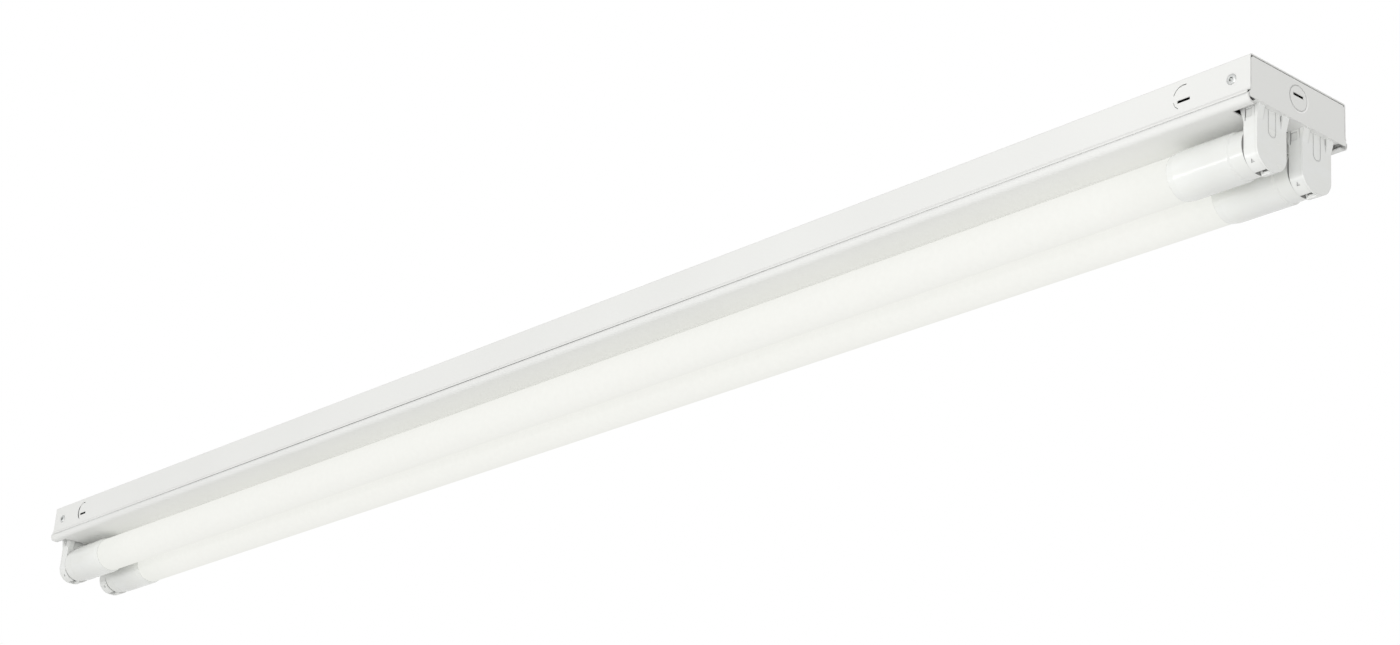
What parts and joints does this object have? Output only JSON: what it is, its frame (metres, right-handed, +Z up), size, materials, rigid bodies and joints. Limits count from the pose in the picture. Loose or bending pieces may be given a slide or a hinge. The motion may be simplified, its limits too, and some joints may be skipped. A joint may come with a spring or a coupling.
{
  "type": "hanging strip light",
  "caption": "Bare-lamp strip light: folded steel channel with snap-in cover, end plates, turn-type lampholders and tubular lamps, to hang or fix overhead.",
  "frame": {"origin": "middle of the channel's top face, the face that meets a ceiling", "axes": "+X along the lamps, +Y across them, +Z up out of the top face"},
  "size_m": [1.2238, 0.0818, 0.0591],
  "materials": {
    "white_enamel": "gloss",
    "rivet_metal": "satin",
    "ballast_enamel": "satin",
    "screw_steel": "satin",
    "green_enamel": "satin",
    "blue_insulation": "satin",
    "red_insulation": "satin",
    "black_insulation": "satin",
    "white_insulation": "satin",
    "connector_plastic": "satin",
    "holder_plastic": "gloss",
    "contact_brass": "satin",
    "cap_plastic": "gloss",
    "pin_brass": "satin",
    "frosted_tube": "frosted",
    "board_white": "satin",
    "chip_yellow": "gloss"
  },
  "bodies": {
    "housing": {"channel_body": "white_enamel", "end_plate_left": "white_enamel", "end_plate_right": "white_enamel", "end_plate_rivets": "rivet_metal", "ballast_plate": "ballast_enamel", "ballast_case": "ballast_enamel", "ballast_screw": "screw_steel", "ground_screw": "green_enamel", "blue_lampholder_leads": "blue_insulation", "red_lampholder_leads": "red_insulation", "black_supply_lead": "black_insulation", "white_supply_lead": "white_insulation", "wire_connectors": "connector_plastic", "lampholder_body_front_left": "holder_plastic", "lampholder_back_front_left": "holder_plastic", "lampholder_body_front_right": "holder_plastic", "lampholder_back_front_right": "holder_plastic", "lampholder_body_rear_left": "holder_plastic", "lampholder_back_rear_left": "holder_plastic", "lampholder_body_rear_right": "holder_plastic", "lampholder_back_rear_right": "holder_plastic", "lampholder_contacts": "contact_brass"},
    "cover": {"channel_cover": "white_enamel"},
    "front_lamp": {"lamp_tube_front": "frosted_tube", "led_board_front": "board_white", "led_chips_front": "chip_yellow", "lamp_caps_front": "cap_plastic", "lamp_pins_front": "pin_brass", "lampholder_rotors_front": "holder_plastic"},
    "rear_lamp": {"lamp_tube_rear": "frosted_tube", "led_board_rear": "board_white", "led_chips_rear": "chip_yellow", "lamp_caps_rear": "cap_plastic", "lamp_pins_rear": "pin_brass", "lampholder_rotors_rear": "holder_plastic"}
  },
  "joints": [
    {"name": "front_lamp_turn", "type": "hinge", "parent": "housing", "child": "front_lamp", "pos_m": [0, -0.0186, -0.04535], "axis": [1, 0, 0], "range_deg": [0, 90]},
    {"name": "rear_lamp_turn", "type": "hinge", "parent": "housing", "child": "rear_lamp", "pos_m": [0, 0.0186, -0.04535], "axis": [1, 0, 0], "range_deg": [0, 90]},
    {"name": "cover_release", "type": "slide", "parent": "housing", "child": "cover", "axis": [0, 0, -1], "range_m": [0, 0.0035]}
  ]
}
